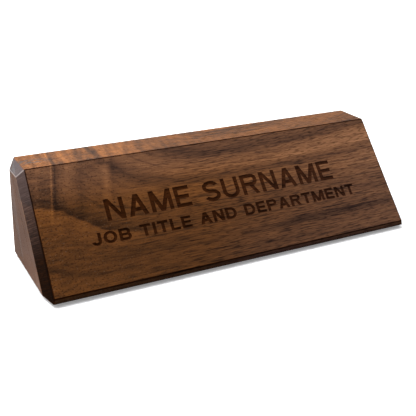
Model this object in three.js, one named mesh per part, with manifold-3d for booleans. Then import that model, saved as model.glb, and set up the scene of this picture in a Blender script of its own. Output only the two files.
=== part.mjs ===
// A walnut desk wedge name plate: three boards glued face to face, then sawn to a wedge with one
// sloping front. Fluted dowels keep the boards in register while the glue sets, and four felt pads
// stand the wedge on the desk. Millimetres, +Z up, +X along the length, the sloping face towards -Y.
// The origin is on the desk, under the middle of the wedge.
import * as THREE from 'three';
import { mergeVertices } from 'three/addons/utils/BufferGeometryUtils.js';
import Module from 'manifold-3d';

const wasm = await Module();
wasm.setup();

// ---- driving dimensions ----
const LENGTH = 254;
const DEPTH = 76.2;
const WOOD_HEIGHT = 63.5;
const TOP_DEPTH = 25.4; // front to back, across the narrow top face
const LAND_HEIGHT = 3.3; // the upright land under the sloping face, so that it has no feather edge
const BOARD_THICKNESS = 20.3; // inch-thick walnut, planed
const GLUE_GAP = 0.3; // between two pieces that are glued, and round a dowel in its hole
const PRESS_ALLOWANCE = 0.3; // between a dowel's end and the bottom of its hole

const FACET_SETBACK = 3.2; // how far the end facets run in along the length
const FRONT_FACET_DEPTH = 12; // how far the front end facet reaches into the end face
const TOP_FACET_DROP = 7.5; // how far the top end facet drops down the end face

const DOWEL_RADIUS = 4;
const DOWEL_LENGTH = 20;
const DOWEL_FLUTES = 14;
const FLUTE_DEPTH = 0.35;
const DOWEL_CHAMFER = 0.8;
const FRONT_DOWEL_OFFSET = 85; // from the middle of the length
const REAR_DOWEL_OFFSET = 50;
const FRONT_DOWEL_RISE = 50; // up the slope, from the land's top edge
const REAR_DOWEL_RISE = 47;

const PAD_RADIUS = 6.35;
const PAD_THICKNESS = 1.5;
const PAD_ROUND = 0.4;
const PAD_END_INSET = 18; // a pad's centre from the end faces
const PAD_FRONT_INSET = 14; // and from the front edge of the base
const PAD_BACK_INSET = 12; // and from the back

const OVERSIZE = 60; // how far a cutting block reaches past the wood
const HOLE_SIDES = 48;
const PAD_SIDES = 48;
const WELD_DISTANCE = 1e-4; // points of a solid that are nearer than this are one point

// ---- places worked out from them ----
const BASE_Z = PAD_THICKNESS + GLUE_GAP;
const FRONT_Y = -DEPTH / 2;
const BACK_Y = DEPTH / 2;
const FACE_RUN = DEPTH - TOP_DEPTH;
const FACE_RISE = WOOD_HEIGHT - LAND_HEIGHT;

const ALONG = new THREE.Vector3(1, 0, 0);
const UP_SLOPE = new THREE.Vector3(0, FACE_RUN, FACE_RISE).normalize();
const INTO_WOOD = UP_SLOPE.clone().cross(ALONG); // square to the sloping face, pointing inwards
const FACE_FOOT = new THREE.Vector3(0, FRONT_Y, BASE_Z + LAND_HEIGHT);
const TOP_FRONT = new THREE.Vector3(0, FRONT_Y + FACE_RUN, BASE_Z + WOOD_HEIGHT);

// A placing matrix: local x, y and z run along the three directions, from the origin given.
function placing(xDirection, yDirection, zDirection, origin) {
  return new THREE.Matrix4().makeBasis(xDirection, yDirection, zDirection).setPosition(origin);
}

function outline(points) {
  return new THREE.Shape(points.map(([x, y]) => new THREE.Vector2(x, y)));
}

// ---- solids for joining and cutting ----
function solid(geometry) {
  const bare = geometry.clone();
  bare.deleteAttribute('normal');
  bare.deleteAttribute('uv');
  const merged = mergeVertices(bare, WELD_DISTANCE);
  return new wasm.Manifold(new wasm.Mesh({
    numProp: 3,
    vertProperties: merged.attributes.position.array,
    triVerts: new Uint32Array(merged.index.array),
  }));
}

// The solid as a geometry whose faces share no points, so that sawn arrises shade as sharp ones.
function geometryOf(manifold) {
  const mesh = manifold.getMesh();
  const shared = new THREE.BufferGeometry();
  shared.setAttribute('position', new THREE.BufferAttribute(mesh.vertProperties, 3));
  shared.setIndex(new THREE.BufferAttribute(mesh.triVerts, 1));
  const geometry = shared.toNonIndexed();
  geometry.computeVertexNormals();
  return geometry;
}

// ---- the wedge, before it is parted into boards ----
function wedgeBlank() {
  const section = outline([
    [FRONT_Y, BASE_Z],
    [BACK_Y, BASE_Z],
    [BACK_Y, BASE_Z + WOOD_HEIGHT],
    [FRONT_Y + FACE_RUN, BASE_Z + WOOD_HEIGHT],
    [FRONT_Y, BASE_Z + LAND_HEIGHT],
  ]);
  const blank = new THREE.ExtrudeGeometry(section, { depth: LENGTH, bevelEnabled: false });
  const y = new THREE.Vector3(0, 1, 0);
  const z = new THREE.Vector3(0, 0, 1);
  blank.applyMatrix4(placing(y, z, ALONG, new THREE.Vector3(-LENGTH / 2, 0, 0)));
  return solid(blank);
}

// The block that a saw takes off one end: a triangle in the plane of the length and the direction
// inwards, whose long side is the facet, drawn out along the arris that the facet replaces.
function facetOffcut(side, inwards, reach, arrisPoint) {
  const overrun = OVERSIZE / FACET_SETBACK;
  const endX = LENGTH / 2;
  const inner = [side * (endX - FACET_SETBACK * (1 + overrun)), -reach * overrun];
  const outer = [side * (endX + FACET_SETBACK * overrun), reach * (1 + overrun)];
  const clear = [side * (endX + FACET_SETBACK * overrun), -reach * overrun];
  const corners = side > 0 ? [inner, clear, outer] : [inner, outer, clear];
  const length = 4 * OVERSIZE;
  const block = new THREE.ExtrudeGeometry(outline(corners), { depth: length, bevelEnabled: false });
  const arris = ALONG.clone().cross(inwards);
  const start = arrisPoint.clone().addScaledVector(arris, -length / 2);
  block.applyMatrix4(placing(ALONG, inwards, arris, start));
  return solid(block);
}

// ---- joints between the boards ----
// A slab that holds one board's share of the thickness, less half a glue line at each joint.
function boardSlab(nearDepth, farDepth) {
  const thickness = farDepth - nearDepth;
  const slab = new THREE.BoxGeometry(LENGTH + OVERSIZE, thickness, 4 * OVERSIZE);
  const middle = FACE_FOOT.clone().addScaledVector(INTO_WOOD, (nearDepth + farDepth) / 2);
  slab.applyMatrix4(placing(ALONG, INTO_WOOD, UP_SLOPE, middle));
  return solid(slab);
}

// Where a dowel's middle lies: on a joint plane, so far along the length and so far up the slope.
function jointPoint(jointDepth, offset, rise) {
  return FACE_FOOT.clone()
    .addScaledVector(INTO_WOOD, jointDepth)
    .addScaledVector(UP_SLOPE, rise)
    .addScaledVector(ALONG, offset);
}

function dowelHole(middle) {
  const depth = DOWEL_LENGTH + 2 * PRESS_ALLOWANCE;
  const hole = new THREE.CylinderGeometry(
    DOWEL_RADIUS + GLUE_GAP, DOWEL_RADIUS + GLUE_GAP, depth, HOLE_SIDES,
  );
  hole.applyMatrix4(placing(ALONG, INTO_WOOD, UP_SLOPE, middle));
  return solid(hole);
}

// A fluted dowel about its own z axis, with its middle at the origin and both ends chamfered.
function dowelGeometry() {
  const stepsPerFlute = 4;
  const steps = DOWEL_FLUTES * stepsPerFlute;
  const points = [];
  for (let i = 0; i < steps; i += 1) {
    const turn = (2 * Math.PI * i) / steps;
    const radius = i % stepsPerFlute === 0 ? DOWEL_RADIUS - FLUTE_DEPTH : DOWEL_RADIUS;
    points.push([radius * Math.cos(turn), radius * Math.sin(turn)]);
  }
  const body = new THREE.ExtrudeGeometry(outline(points), {
    depth: DOWEL_LENGTH - 2 * DOWEL_CHAMFER,
    bevelEnabled: true,
    bevelThickness: DOWEL_CHAMFER,
    bevelSize: DOWEL_CHAMFER,
    bevelOffset: -DOWEL_CHAMFER,
    bevelSegments: 1,
  });
  body.translate(0, 0, DOWEL_CHAMFER - DOWEL_LENGTH / 2);
  return body;
}

// A felt pad about the z axis, standing on z = 0, with its edges eased.
function padGeometry() {
  const profile = [
    [0, 0],
    [PAD_RADIUS - PAD_ROUND, 0],
    [PAD_RADIUS, PAD_ROUND],
    [PAD_RADIUS, PAD_THICKNESS - PAD_ROUND],
    [PAD_RADIUS - PAD_ROUND, PAD_THICKNESS],
    [0, PAD_THICKNESS],
  ].map(([radius, height]) => new THREE.Vector2(radius, height));
  const pad = new THREE.LatheGeometry(profile, PAD_SIDES);
  pad.rotateX(Math.PI / 2);
  return pad;
}

// ---- finishes ----
const walnut = () => new THREE.MeshStandardMaterial({ color: 0x6e4a30, roughness: 0.5, metalness: 0 });
const paleWalnut = () => new THREE.MeshStandardMaterial({ color: 0x7d5638, roughness: 0.5, metalness: 0 });
const darkWalnut = () => new THREE.MeshStandardMaterial({ color: 0x5c3d29, roughness: 0.5, metalness: 0 });
const beech = () => new THREE.MeshStandardMaterial({ color: 0xc8a271, roughness: 0.65, metalness: 0 });
const felt = () => new THREE.MeshStandardMaterial({ color: 0x2e241f, roughness: 0.95, metalness: 0 });

// ---- the assembly ----
const plate = new THREE.Group();

function addPiece(name, geometry, material, place) {
  const mesh = new THREE.Mesh(geometry, material);
  mesh.name = name;
  if (place) {
    mesh.applyMatrix4(place);
  }
  plate.add(mesh);
}

function addDowel(name, middle) {
  addPiece(name, dowelGeometry(), beech(), placing(UP_SLOPE, ALONG, INTO_WOOD, middle));
}

const dowels = {
  front_dowel_left: jointPoint(BOARD_THICKNESS, -FRONT_DOWEL_OFFSET, FRONT_DOWEL_RISE),
  front_dowel_right: jointPoint(BOARD_THICKNESS, FRONT_DOWEL_OFFSET, FRONT_DOWEL_RISE),
  rear_dowel_left: jointPoint(2 * BOARD_THICKNESS, -REAR_DOWEL_OFFSET, REAR_DOWEL_RISE),
  rear_dowel_right: jointPoint(2 * BOARD_THICKNESS, REAR_DOWEL_OFFSET, REAR_DOWEL_RISE),
};

let wedge = wedgeBlank();
const DOWN = new THREE.Vector3(0, 0, -1);
for (const side of [-1, 1]) {
  wedge = wedge.subtract(facetOffcut(side, INTO_WOOD, FRONT_FACET_DEPTH, FACE_FOOT));
  wedge = wedge.subtract(facetOffcut(side, DOWN, TOP_FACET_DROP, TOP_FRONT));
}
for (const middle of Object.values(dowels)) {
  wedge = wedge.subtract(dowelHole(middle));
}

const halfLine = GLUE_GAP / 2;
const boards = {
  front_board: [-OVERSIZE, BOARD_THICKNESS - halfLine, walnut],
  middle_board: [BOARD_THICKNESS + halfLine, 2 * BOARD_THICKNESS - halfLine, paleWalnut],
  rear_board: [2 * BOARD_THICKNESS + halfLine, OVERSIZE + DEPTH, darkWalnut],
};
for (const [name, [nearDepth, farDepth, finish]] of Object.entries(boards)) {
  addPiece(name, geometryOf(wedge.intersect(boardSlab(nearDepth, farDepth))), finish());
}

for (const [name, middle] of Object.entries(dowels)) {
  addDowel(name, middle);
}

const padX = LENGTH / 2 - PAD_END_INSET;
const padRows = { front: FRONT_Y + PAD_FRONT_INSET, back: BACK_Y - PAD_BACK_INSET };
for (const [row, y] of Object.entries(padRows)) {
  for (const [end, x] of [['left', -padX], ['right', padX]]) {
    const place = new THREE.Matrix4().makeTranslation(x, y, 0);
    addPiece(`pad_${row}_${end}`, padGeometry(), felt(), place);
  }
}

export default plate;
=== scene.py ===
# %% [markdown]
# # A walnut desk wedge, from sawn boards to engraved name
#
# The object is a name plate that stands on a desk: three walnut boards glued face to face and
# sawn to a wedge, with two lines of words burnt into its sloping front. Its sizes are fixed by
# the CAD frame. This lesson keeps every piece where the frame has it and adds what a saw, a
# sanding block, a laser and a tin of oil leave behind: eased arrises, engraved letters, growth
# rings that run through each board, open pores and sealed end grain.

import math
import random

import bmesh
import bpy
from mathutils import Matrix, Vector
from mathutils.geometry import delaunay_2d_cdt


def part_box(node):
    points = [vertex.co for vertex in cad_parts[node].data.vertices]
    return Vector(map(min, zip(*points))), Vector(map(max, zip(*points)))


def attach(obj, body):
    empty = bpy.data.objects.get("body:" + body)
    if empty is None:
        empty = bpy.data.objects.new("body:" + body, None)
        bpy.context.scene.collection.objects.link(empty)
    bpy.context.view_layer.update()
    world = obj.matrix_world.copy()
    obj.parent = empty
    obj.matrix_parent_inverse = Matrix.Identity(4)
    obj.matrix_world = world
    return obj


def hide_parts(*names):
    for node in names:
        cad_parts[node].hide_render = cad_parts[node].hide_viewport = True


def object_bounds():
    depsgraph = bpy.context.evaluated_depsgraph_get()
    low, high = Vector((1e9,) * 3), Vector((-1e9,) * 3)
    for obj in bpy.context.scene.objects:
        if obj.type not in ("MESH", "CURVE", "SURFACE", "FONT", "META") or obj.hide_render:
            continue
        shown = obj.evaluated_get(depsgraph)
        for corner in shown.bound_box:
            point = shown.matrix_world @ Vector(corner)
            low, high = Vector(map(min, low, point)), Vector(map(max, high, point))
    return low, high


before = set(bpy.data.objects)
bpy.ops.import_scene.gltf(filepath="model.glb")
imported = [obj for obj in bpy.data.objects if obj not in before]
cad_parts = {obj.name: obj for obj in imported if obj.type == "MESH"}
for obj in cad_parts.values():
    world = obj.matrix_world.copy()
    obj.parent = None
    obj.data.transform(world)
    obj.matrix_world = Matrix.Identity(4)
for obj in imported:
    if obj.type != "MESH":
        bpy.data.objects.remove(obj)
cad_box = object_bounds()
MM = 0.001
print("boards, dowels and pads:", ", ".join(sorted(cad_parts)))

# %% [markdown]
# ## Read the wedge's directions from the frame
#
# A woodworker marks a board before cutting it: which way the grain runs, which face is the show
# face, how deep a cut goes. Here the same three directions come from the front board's own
# shape. The sloping face is its largest flat that looks forward and up. Everything later, from
# the growth rings to the letters, is measured along the grain, up the slope and into the wood.

# %% Find the sloping face and the three working directions
FACING = 0.3
SAME_FLAT = 0.9999

front_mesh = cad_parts["front_board"].data
slope_faces = [
    face for face in front_mesh.polygons
    if face.normal.y < -FACING and face.normal.z > FACING
]
show_face = max(slope_faces, key=lambda face: face.area)
slope_points = [
    front_mesh.vertices[i].co
    for face in slope_faces
    if face.normal.dot(show_face.normal) > SAME_FLAT
    for i in face.vertices
]

ALONG = Vector((1, 0, 0))
INTO_WOOD = -show_face.normal
UP_SLOPE = ALONG.cross(INTO_WOOD)
if UP_SLOPE.z < 0:
    UP_SLOPE = -UP_SLOPE
FACE_FOOT = min(slope_points, key=lambda point: point.dot(UP_SLOPE)).copy()
FACE_FOOT.x = 0
SLOPE_HEIGHT = max((point - FACE_FOOT).dot(UP_SLOPE) for point in slope_points)
LENGTH = cad_box[1].x - cad_box[0].x
print(f"length {LENGTH / MM:.1f} mm, slope {SLOPE_HEIGHT / MM:.1f} mm at "
      f"{math.degrees(math.asin(UP_SLOPE.z)):.1f} degrees")

# %% [markdown]
# ## Camera
#
# The camera stands off the left end, in front of the wedge and above it. Its lens is a third
# longer than Blender's usual one, so that the long front tapers less. It is tipped down only part
# of the way to the wedge: the lens is shifted for the rest, so the uprights lean less than they
# would.

# %% Stand the camera at the left of the wedge
CAMERA_PLACE = (-0.2281, -0.4210, 0.2252)
CAMERA_TURN = math.radians(27.5)
CAMERA_TILT = math.radians(16.88)
CAMERA_ROLL = math.radians(0.62)
LENS = 67.85
LENS_SHIFT = -0.1995

camera = bpy.data.objects.new("camera", bpy.data.cameras.new("camera"))
camera.data.lens = LENS
camera.data.shift_y = LENS_SHIFT
turn = Matrix.Rotation(-CAMERA_TURN, 4, "Z")
tilt = Matrix.Rotation(math.radians(90) - CAMERA_TILT, 4, "X")
roll = Matrix.Rotation(CAMERA_ROLL, 4, "Z")
camera.matrix_world = Matrix.Translation(CAMERA_PLACE) @ turn @ tilt @ roll
bpy.context.scene.collection.objects.link(camera)
bpy.context.scene.camera = camera
print("camera stands", round(Vector(CAMERA_PLACE).length, 3), "m from the middle of the base")

# %% [markdown]
# ## Helpers for node trees
#
# Materials below are built by code, so a few small helpers keep them readable: `add` makes a
# node and either sets or links each input, `calc` does one sum, with `plus`, `minus`, `times` and
# `over` as its short forms, and `ramp` turns a number into a colour or a grey. `new_group` starts
# a node group with named inputs and outputs, which is how one effect, such as the growth rings,
# is made once and shared by several materials.

# %% Node helpers
FLOAT = "NodeSocketFloat"
COLOUR = "NodeSocketColor"


def add(tree, kind, values=None, **settings):
    """One new node. `values` maps an input to a plain value or to another node's output."""
    node = tree.nodes.new(kind)
    for name, value in settings.items():
        setattr(node, name, value)
    for key, value in (values or {}).items():
        if isinstance(value, bpy.types.NodeSocket):
            tree.links.new(value, node.inputs[key])
        else:
            node.inputs[key].default_value = value
    return node


def calc(tree, operation, a, b=0.0, clamp=False):
    """The result of one sum on numbers or outputs."""
    values = {0: a} if operation == "EXPONENT" else {0: a, 1: b}
    return add(tree, "ShaderNodeMath", values, operation=operation, use_clamp=clamp).outputs[0]


def plus(tree, a, b, clamp=False):
    return calc(tree, "ADD", a, b, clamp)


def minus(tree, a, b):
    return calc(tree, "SUBTRACT", a, b)


def times(tree, a, b):
    return calc(tree, "MULTIPLY", a, b)


def over(tree, a, b, clamp=False):
    return calc(tree, "DIVIDE", a, b, clamp)


def linear(red, green, blue):
    """A colour given in 0 to 255 screen values, as the linear colour that nodes want."""
    parts = [part / 255 for part in (red, green, blue)]
    return tuple(p / 12.92 if p <= 0.04045 else ((p + 0.055) / 1.055) ** 2.4 for p in parts) + (1.0,)


def ramp(tree, factor, stops):
    """A colour ramp from (place, colour or grey) pairs."""
    node = add(tree, "ShaderNodeValToRGB", {"Fac": factor})
    elements = node.color_ramp.elements
    while len(elements) < len(stops):
        elements.new(0.5)
    for element, (place, colour) in zip(elements, stops):
        element.position = place
        element.color = colour if isinstance(colour, tuple) else (colour, colour, colour, 1.0)
    return node.outputs["Color"]


def noise(tree, vector, scale=1.0, detail=2.0, roughness=0.5):
    """Cloudy noise between 0 and 1."""
    values = {"Vector": vector, "Scale": scale, "Detail": detail, "Roughness": roughness}
    return add(tree, "ShaderNodeTexNoise", values).outputs["Fac"]


def stretch(tree, along, across, deep, along_scale, across_scale):
    """A place in the board, with one scale along the grain and another across it."""
    values = {
        "X": times(tree, along, along_scale),
        "Y": times(tree, across, across_scale),
        "Z": times(tree, deep, across_scale),
    }
    return add(tree, "ShaderNodeCombineXYZ", values).outputs["Vector"]


def mix_values(tree, amount, first, second):
    """Part of one number and part of another."""
    return add(tree, "ShaderNodeMix", {0: amount, 2: first, 3: second}, data_type="FLOAT").outputs[0]


def tinted(tree, colour, tint):
    """A colour multiplied by another."""
    values = {0: 1.0, 6: colour, 7: tint}
    return add(tree, "ShaderNodeMix", values, data_type="RGBA", blend_type="MULTIPLY").outputs[2]


def blended(tree, amount, first, second):
    """Part of one colour and part of another."""
    return add(tree, "ShaderNodeMix", {0: amount, 6: first, 7: second}, data_type="RGBA").outputs[2]


def new_group(name, inputs, outputs):
    """A node group with named inputs, each with its usual value, and named outputs."""
    group = bpy.data.node_groups.new(name, "ShaderNodeTree")
    for socket_name, value in inputs.items():
        socket = group.interface.new_socket(socket_name, in_out="INPUT", socket_type=FLOAT)
        socket.default_value = value
    for socket_name, kind in outputs.items():
        group.interface.new_socket(socket_name, in_out="OUTPUT", socket_type=kind)
    given = group.nodes.new("NodeGroupInput").outputs
    made = group.nodes.new("NodeGroupOutput").inputs
    return group, given, made


def place_group(tree, group, values=None):
    """Puts a node group into a material and returns its outputs."""
    return add(tree, "ShaderNodeGroup", values, node_tree=group).outputs


print("helpers ready")

# %% [markdown]
# ## Where a point lies in the tree
#
# Real figure isn't painted on a face: it is the tree's growth rings, cut through. So the wood
# is coloured in three dimensions, from where each point lies along the grain, up the slope and
# into the board. A ring that reaches an arris then carries on over the next face, as it does on
# solid timber.

# %% Node group: board directions
def make_board_directions():
    outputs = {"Along": FLOAT, "Rise": FLOAT, "Depth": FLOAT}
    group, _, made = new_group("board_directions", {}, outputs)
    place = add(group, "ShaderNodeTexCoord").outputs["Object"]
    start = {0: place, 1: FACE_FOOT}
    from_foot = add(group, "ShaderNodeVectorMath", start, operation="SUBTRACT").outputs["Vector"]
    for name, direction in (("Along", ALONG), ("Rise", UP_SLOPE), ("Depth", INTO_WOOD)):
        values = {0: from_foot, 1: direction}
        dot = add(group, "ShaderNodeVectorMath", values, operation="DOT_PRODUCT")
        group.links.new(dot.outputs["Value"], made[name])
    return group


board_directions = make_board_directions()
print("directions group outputs:", [item.name for item in board_directions.interface.items_tree])

# %% Shares of the length and of the slope
def share_along(tree, along):
    """0 at the left end of the wedge, 1 at the right end."""
    return plus(tree, over(tree, along, LENGTH), 0.5)


def share_down(tree, rise):
    """0 at the top of the sloping face, 1 at its foot, and less than 0 over the flat top."""
    return minus(tree, 1.0, over(tree, rise, SLOPE_HEIGHT))


print(f"the shares run over {LENGTH / MM:.1f} mm and {SLOPE_HEIGHT / MM:.1f} mm")

# %% [markdown]
# ## Growth rings
#
# On a flat-sawn board the rings run nearly straight and then dive where the trunk swelled round
# a branch. The group gives each point a ring number: 0 at the top of the sloping face, 1 at its
# foot. Near the left end a bell-shaped swell lifts the number, so the lines sweep up there; near
# the right end they fan gently upward. A little noise keeps any line from being ruled. A second
# output, the lay, follows the fan but hardly the swell: fibres dive there instead of turning.
# Here and below, a pair such as BROAD_WANDER is how many patches of noise a metre holds, along
# the grain and across it.

# %% Node group: growth rings
SWELL_REACH = 0.30
SWELL_NARROWING = 0.25
SWELL_IN_LAY = 0.12
FAN = 0.11
BROAD_WANDER = (9.0, 28.0)
CLOSE_WANDER = (45.0, 160.0)
CLOSE_SHARE = 0.45


def make_growth_rings():
    inputs = {
        "Along": 0.0, "Rise": 0.0, "Depth": 0.0,
        "Swell": 0.5, "Lean": 4.0, "Wander": 0.05, "Shift": 0.0,
    }
    group, given, made = new_group("growth_rings", inputs, {"Ring": FLOAT, "Lay": FLOAT})
    across = share_along(group, given["Along"])
    down = share_down(group, given["Rise"])

    reach = minus(group, SWELL_REACH, times(group, down, SWELL_NARROWING))
    bell = calc(group, "POWER", over(group, across, reach), 2.0)
    bell = calc(group, "EXPONENT", times(group, bell, -1.0))
    swell = times(group, minus(group, 1.0, down), given["Swell"])
    swell = times(group, swell, bell)

    right_half = calc(group, "MAXIMUM", minus(group, times(group, across, 2.0), 1.0), 0.0)
    upper_half = calc(group, "MAXIMUM", minus(group, 1.0, times(group, down, 2.0)), 0.0)
    fan = times(group, times(group, right_half, upper_half), FAN)

    place = (given["Along"], given["Rise"], given["Depth"])
    broad = minus(group, noise(group, stretch(group, *place, *BROAD_WANDER), detail=1.0), 0.5)
    close = minus(group, noise(group, stretch(group, *place, *CLOSE_WANDER), detail=3.0), 0.5)
    wander = times(group, plus(group, broad, times(group, close, CLOSE_SHARE)), given["Wander"])

    leaning = times(group, given["Depth"], given["Lean"])
    ring_number = plus(group, plus(group, down, swell), plus(group, fan, wander))
    ring_number = plus(group, ring_number, plus(group, leaning, given["Shift"]))
    group.links.new(ring_number, made["Ring"])

    lay = plus(group, plus(group, down, fan), times(group, wander, 0.5))
    group.links.new(plus(group, lay, times(group, swell, SWELL_IN_LAY)), made["Lay"])
    return group


growth_rings = make_growth_rings()
print("growth rings swell within", round(SWELL_REACH * LENGTH / MM), "mm of the left end")

# %% [markdown]
# ## Dark and light years
#
# Walnut darkens and pales from one group of years to the next. A ramp over the ring number holds
# those bands, listed one by one, because their order is what makes one board recognisable: a thin
# dark year, a honey-coloured stretch, a pair of close dark lines. A second ramp holds the stronger
# figure of the swelling by the left end, and the two are blended along the board. A dark line
# also comes and goes along its length, so a slow noise fades the plain years in the lower half.
# Past ring 0 lies the top of the wedge, where the same years come back, closer together.
# Between the bands run the thin dark lines of single years, which are a noise over the ring
# number with only its peaks kept.

# %% Node group: year bands
YEARS = [
    (0.00, 0.54), (0.05, 0.50), (0.09, 0.40), (0.12, 0.31), (0.14, 0.42), (0.165, 0.62), (0.25, 0.75),
    (0.28, 0.58), (0.31, 0.40), (0.34, 0.57), (0.39, 0.66), (0.43, 0.60), (0.445, 0.42), (0.46, 0.58),
    (0.51, 0.50), (0.56, 0.43), (0.60, 0.47), (0.615, 0.28), (0.63, 0.42), (0.70, 0.42), (0.755, 0.37),
    (0.785, 0.17), (0.81, 0.23), (0.84, 0.37), (0.90, 0.41), (0.945, 0.34), (1.00, 0.39),
]
SWELL_YEARS = [
    (0.00, 0.54), (0.20, 0.60), (0.30, 0.48), (0.335, 0.22), (0.37, 0.52), (0.44, 0.54), (0.50, 0.50),
    (0.535, 0.47), (0.575, 0.36), (0.61, 0.22), (0.636, 0.05), (0.648, 0.56), (0.68, 0.54), (0.76, 0.40),
    (0.86, 0.36), (0.905, 0.26), (0.92, 0.42), (1.00, 0.44),
]

USUAL_TONE = 0.46
TOP_CROWDING = 3.0
TOP_RINGS = 0.42
FADED_PATCHES = (13.0, 7.0)
SINGLE_YEARS = (10.0, 42.0)
LINE_BREAKS = (30.0, 12.0)
LINE_DEPTH = 0.19


def make_year_bands():
    group, given, made = new_group("year_bands", {"Ring": 0.0, "Along": 0.0}, {"Tone": FLOAT})
    place = (given["Along"], given["Ring"], 0.0)
    near_swell = ramp(group, share_along(group, given["Along"]), [(0.10, 1.0), (0.40, 0.0)])

    over_the_top = calc(group, "MINIMUM", times(group, given["Ring"], -TOP_CROWDING), TOP_RINGS)
    ring_number = calc(group, "MAXIMUM", given["Ring"], over_the_top)
    patches = noise(group, stretch(group, *place, *FADED_PATCHES), detail=1.0)
    kept = ramp(group, patches, [(0.38, 0.20), (0.56, 1.0)])
    kept = calc(group, "MAXIMUM", kept, ramp(group, ring_number, [(0.42, 1.0), (0.52, 0.0)]))
    plain = minus(group, ramp(group, ring_number, YEARS), USUAL_TONE)
    plain = plus(group, times(group, plain, kept), USUAL_TONE)
    figured = ramp(group, given["Ring"], SWELL_YEARS)
    bands = mix_values(group, near_swell, plain, figured)

    years = noise(group, stretch(group, *place, *SINGLE_YEARS), detail=2.0)
    lines = ramp(group, years, [(0.54, 0.0), (0.60, 1.0)])
    breaks = noise(group, stretch(group, *place, *LINE_BREAKS))
    lines = times(group, lines, ramp(group, breaks, [(0.40, 0.15), (0.60, 1.0)]))
    depth = mix_values(group, near_swell, LINE_DEPTH, 0.5 * LINE_DEPTH)
    group.links.new(minus(group, bands, times(group, lines, depth)), made["Tone"])
    return group


year_bands = make_year_bands()
print(len(YEARS), "stops of plain years and", len(SWELL_YEARS), "by the swelling")

# %% [markdown]
# ## Fibres and pores
#
# Close up, walnut is made of fine streaks, dark dashes and short open pores that the oil darkens.
# All are noise stretched along the grain, laid out over the lay of the fibres so that they rise
# and fall with it. Where the fibres dive by the swelling they are cut nearly across, and a dash
# shrinks to a speck, so a second, rounder noise takes over towards the left end. There a few
# pores also get pale specks, the glints output, which are painted highlights.

# %% Node group: fibres and pores
LONG_FIBRES = (20.0, 560.0)
SHORT_FIBRES = (70.0, 1350.0)
LONG_SHARE = 0.30
DIVING_FIBRES = (110.0, 520.0)
DASHES = (75.0, 1050.0)
DASH_CLUSTERS = (10.0, 90.0)
SPECKS = (190.0, 1500.0)
DOTS = (700.0, 1200.0)
GLINT_SPECKS = (950.0, 1250.0)


def make_fibres():
    inputs = {"Along": 0.0, "Lay": 0.0, "Depth": 0.0, "Pore amount": 1.0}
    outputs = {"Streak": FLOAT, "Dash": FLOAT, "Pore": FLOAT, "Glints": FLOAT}
    group, given, made = new_group("fibres_and_pores", inputs, outputs)
    place = (given["Along"], times(group, given["Lay"], SLOPE_HEIGHT), given["Depth"])
    diving = ramp(group, share_along(group, given["Along"]), [(0.06, 1.0), (0.45, 0.0)])

    def fibre_noise(patches, detail, roughness=0.5):
        return noise(group, stretch(group, *place, *patches), detail=detail, roughness=roughness)

    long_ones = times(group, fibre_noise(LONG_FIBRES, 4.0, 0.6), LONG_SHARE)
    short_ones = times(group, fibre_noise(SHORT_FIBRES, 2.0), 1.0 - LONG_SHARE)
    streak = plus(group, long_ones, short_ones)
    streak = mix_values(group, times(group, diving, 0.8), streak, fibre_noise(DIVING_FIBRES, 3.0))
    group.links.new(streak, made["Streak"])

    dash = ramp(group, fibre_noise(DASHES, 2.0), [(0.55, 0.0), (0.63, 1.0)])
    clusters = ramp(group, fibre_noise(DASH_CLUSTERS, 1.0), [(0.30, 0.45), (0.70, 1.0)])
    dash = times(group, times(group, dash, clusters), minus(group, 1.0, diving))
    group.links.new(dash, made["Dash"])

    pore = mix_values(group, diving, fibre_noise(SPECKS, 1.0), fibre_noise(DOTS, 1.0))
    pore = ramp(group, pore, [(0.54, 0.0), (0.66, 1.0)])
    group.links.new(times(group, pore, given["Pore amount"]), made["Pore"])

    # Painted highlights: pale specks in a few pores towards the left end.
    glints = ramp(group, fibre_noise(GLINT_SPECKS, 1.0), [(0.66, 0.0), (0.72, 1.0)])
    group.links.new(times(group, glints, diving), made["Glints"])
    return group


fibres = make_fibres()
print("patches of pores are about", round(1000 / SPECKS[1], 2), "mm across the grain")

# %% [markdown]
# ## Curl
#
# Where the fibres ripple, light catches one side of each wave and leaves the other dark. Makers
# call it curl. It crosses the grain, so it depends on the place along the board, leaning a
# little. Here it fills the top left corner of the face and runs over the arris across the left
# half of the top.

# %% Node group: curl
CURL_WAVES = [
    (0.00, 0.66), (0.10, 0.56), (0.16, 0.66), (0.22, 0.58), (0.285, 0.60), (0.301, 0.94), (0.316, 0.46),
    (0.335, 0.22), (0.352, 0.44), (0.40, 0.58), (0.46, 0.70), (0.52, 0.60), (0.58, 0.40), (0.68, 0.52),
    (0.78, 0.50), (0.84, 0.74), (0.875, 0.62), (0.90, 0.34), (0.95, 0.48), (1.00, 0.50),
]
CURL_REACH = 0.25
CURL_LEAN = 0.06
TOP_RIPPLES = 62.0
TOP_RIPPLE_DEPTH = 1.15


def make_curl():
    group, given, made = new_group("curl", {"Along": 0.0, "Rise": 0.0}, {"Wave": FLOAT})
    across = share_along(group, given["Along"])
    down = share_down(group, given["Rise"])
    leaning = plus(group, across, times(group, down, CURL_LEAN))

    waves = ramp(group, over(group, leaning, CURL_REACH), CURL_WAVES)
    high_up = ramp(group, down, [(0.30, 1.0), (0.48, 0.0)])
    at_left = ramp(group, leaning, [(0.20, 1.0), (0.26, 0.0)])
    waves = times(group, minus(group, waves, 0.5), times(group, high_up, at_left))

    ripple_place = stretch(group, leaning, down, 0.0, 1.0, 0.10)
    ripples = noise(group, ripple_place, scale=TOP_RIPPLES, detail=1.0)
    over_the_top = ramp(group, down, [(0.0, 1.0), (0.02, 0.0)])
    fading = ramp(group, across, [(0.25, 1.0), (0.60, 0.12)])
    ripples = times(group, minus(group, ripples, 0.5), times(group, over_the_top, fading))
    ripples = times(group, ripples, TOP_RIPPLE_DEPTH)

    wave = plus(group, plus(group, waves, ripples), 0.5)
    group.links.new(wave, made["Wave"])
    return group


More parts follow.
